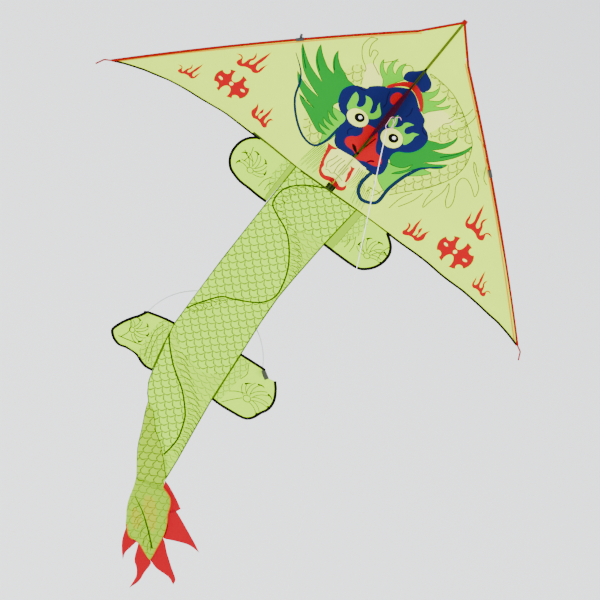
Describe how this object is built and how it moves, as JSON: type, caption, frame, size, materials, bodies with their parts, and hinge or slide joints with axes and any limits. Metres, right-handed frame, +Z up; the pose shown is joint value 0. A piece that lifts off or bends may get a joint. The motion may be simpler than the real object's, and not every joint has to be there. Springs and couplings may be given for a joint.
{
  "type": "dragon kite",
  "caption": "Delta kite printed as a dragon, with folding wings, a keel on a flying line, arms with clawed hands and a long jointed body strip ending in a finned leaf tail.",
  "frame": {"origin": "tow point, the centre of the eyelet at the keel's apex", "axes": "+Z up along the spine to the nose, -Y the printed belly that faces the flyer, +X to the right seen from the front"},
  "size_m": [1.6718, 1.1308, 2.3775],
  "materials": {
    "sail_cloth": "thin translucent ripstop, printed",
    "body_cloth": "thin translucent ripstop, printed",
    "fin_cloth": "red print on ripstop",
    "keel_cloth": "dark translucent ripstop",
    "black_tape": "woven binding",
    "red_sleeve": "ripstop sleeve",
    "dark_sleeve": "translucent sleeve",
    "grey_patch": "reinforcing patch",
    "glass_fibre": "satin rod",
    "black_plastic": "moulded",
    "white_cord": "braided",
    "pink_thread": "twisted"
  },
  "bodies": {
    "frame": {"sail_centre": "sail_cloth", "seam_tape": "black_tape", "body_panel_1": "body_cloth", "spine_sleeve": "dark_sleeve", "spine_rod": "glass_fibre", "spine_cap": "black_plastic", "spine_pocket": "dark_sleeve", "nose_cap": "red_sleeve", "nose_binding_left": "red_sleeve", "nose_binding_right": "red_sleeve"},
    "wing_left": {"sail_left": "sail_cloth", "hem_left": "black_tape", "le_sleeve_upper_left": "red_sleeve", "le_sleeve_lower_left": "red_sleeve", "le_spar_left": "glass_fibre", "spar_cap_left": "black_plastic", "tee_left": "black_plastic", "tip_tape_left": "red_sleeve", "arm_upper_left": "body_cloth", "arm_upper_binding_left": "black_tape"},
    "wing_right": {"sail_right": "sail_cloth", "hem_right": "black_tape", "le_sleeve_upper_right": "red_sleeve", "le_sleeve_lower_right": "red_sleeve", "le_spar_right": "glass_fibre", "spar_cap_right": "black_plastic", "tee_right": "black_plastic", "tip_tape_right": "red_sleeve", "arm_upper_right": "body_cloth", "arm_upper_binding_right": "black_tape"},
    "spreader": {"spreader_rod": "glass_fibre", "spreader_swivel": "black_plastic", "spreader_cap": "black_plastic"},
    "keel": {"keel": "keel_cloth", "keel_binding": "black_tape", "keel_eyelet": "black_plastic"},
    "line": {"tow_loop": "pink_thread", "tow_knot": "pink_thread", "flying_line": "white_cord", "line_end_knot": "white_cord", "line_ring": "white_cord"},
    "tail_1": {"body_panel_2": "body_cloth"},
    "tail_2": {"body_panel_3": "body_cloth"},
    "tail_3": {"body_panel_4": "body_cloth", "arm_lower_left": "body_cloth", "arm_lower_left_binding": "black_tape", "arm_lower_right": "body_cloth", "arm_lower_right_binding": "black_tape", "bow_rod": "glass_fibre", "bow_pocket_left": "grey_patch", "bow_pocket_right": "grey_patch"},
    "tail_4": {"body_panel_5": "body_cloth"},
    "tail_5": {"tail_fold": "body_cloth"},
    "leaf": {"tail_leaf": "body_cloth"},
    "fin_1": {"fin_1": "fin_cloth"},
    "fin_2": {"fin_2": "fin_cloth"},
    "fin_3": {"fin_3": "fin_cloth"},
    "fin_4": {"fin_4": "fin_cloth"},
    "fin_5": {"fin_5": "fin_cloth"}
  },
  "joints": [
    {"name": "wing_fold_left", "type": "hinge", "parent": "frame", "child": "wing_left", "pos_m": [-0.09, 0.112, 0.249], "axis": [-0.0492, 0, -0.9988], "range_deg": [0, 85]},
    {"name": "wing_fold_right", "type": "hinge", "parent": "frame", "child": "wing_right", "pos_m": [0.09, 0.112, 0.249], "axis": [-0.0492, 0, 0.9988], "range_deg": [0, 85]},
    {"name": "spreader_swing", "type": "hinge", "parent": "wing_left", "child": "spreader", "pos_m": [-0.37235, 0.13539, -0.02503], "axis": [-0.3955, -0.0287, 0.918], "range_deg": [0, 175]},
    {"name": "keel_swing", "type": "hinge", "parent": "frame", "child": "keel", "pos_m": [0, 0.1111, 0], "axis": [0, 0, 1], "range_deg": [-45, 45]},
    {"name": "line_swivel", "type": "hinge", "parent": "keel", "child": "line", "pos_m": [0, 0, 0], "axis": [1, 0, 0], "range_deg": [-20, 20]},
    {"name": "tail_bend_1", "type": "hinge", "parent": "frame", "child": "tail_1", "pos_m": [0, 0.112, -0.567], "axis": [1, 0, 0], "range_deg": [-12, 20]},
    {"name": "tail_bend_2", "type": "hinge", "parent": "tail_1", "child": "tail_2", "pos_m": [0, 0.112, -0.819], "axis": [1, 0, 0], "range_deg": [-12, 20]},
    {"name": "tail_bend_3", "type": "hinge", "parent": "tail_2", "child": "tail_3", "pos_m": [-0.117, 0.112, -1.079], "axis": [0.9826, 0, 0.1856], "range_deg": [-12, 20]},
    {"name": "tail_bend_4", "type": "hinge", "parent": "tail_3", "child": "tail_4", "pos_m": [-0.067, 0.112, -1.313], "axis": [0.9828, 0, 0.1846], "range_deg": [-12, 20]},
    {"name": "tail_crease", "type": "hinge", "parent": "tail_4", "child": "tail_5", "pos_m": [-0.0185, 0.112, -1.396], "axis": [0.7243, 0, -0.6894], "range_deg": [-12, 20]},
    {"name": "leaf_bend", "type": "hinge", "parent": "tail_5", "child": "leaf", "pos_m": [0.108, 0.112, -1.648], "axis": [0.9623, 0, 0.272], "range_deg": [-20, 30]},
    {"name": "fin_1_flap", "type": "hinge", "parent": "leaf", "child": "fin_1", "pos_m": [0.202, 0.112, -1.623], "axis": [0.7201, 0, -0.6938], "range_deg": [-25, 25]},
    {"name": "fin_2_flap", "type": "hinge", "parent": "leaf", "child": "fin_2", "pos_m": [0.2715, 0.112, -1.69], "axis": [0.3794, 0, -0.9252], "range_deg": [-25, 25]},
    {"name": "fin_3_flap", "type": "hinge", "parent": "leaf", "child": "fin_3", "pos_m": [0.307, 0.112, -1.78], "axis": [0.1414, 0, -0.9899], "range_deg": [-25, 25]},
    {"name": "fin_4_flap", "type": "hinge", "parent": "leaf", "child": "fin_4", "pos_m": [0.32, 0.112, -1.8795], "axis": [-0.9285, 0, 0.3714], "range_deg": [-25, 25]},
    {"name": "fin_5_flap", "type": "hinge", "parent": "leaf", "child": "fin_5", "pos_m": [0.188, 0.112, -1.826], "axis": [0.9064, 0, -0.4225], "range_deg": [-25, 25]}
  ],
  "couplings": [
    {"joint": "wing_fold_right", "follows": "wing_fold_left", "ratio": 1},
    {"joint": "spreader_swing", "follows": "wing_fold_left", "ratio": 2.05}
  ]
}
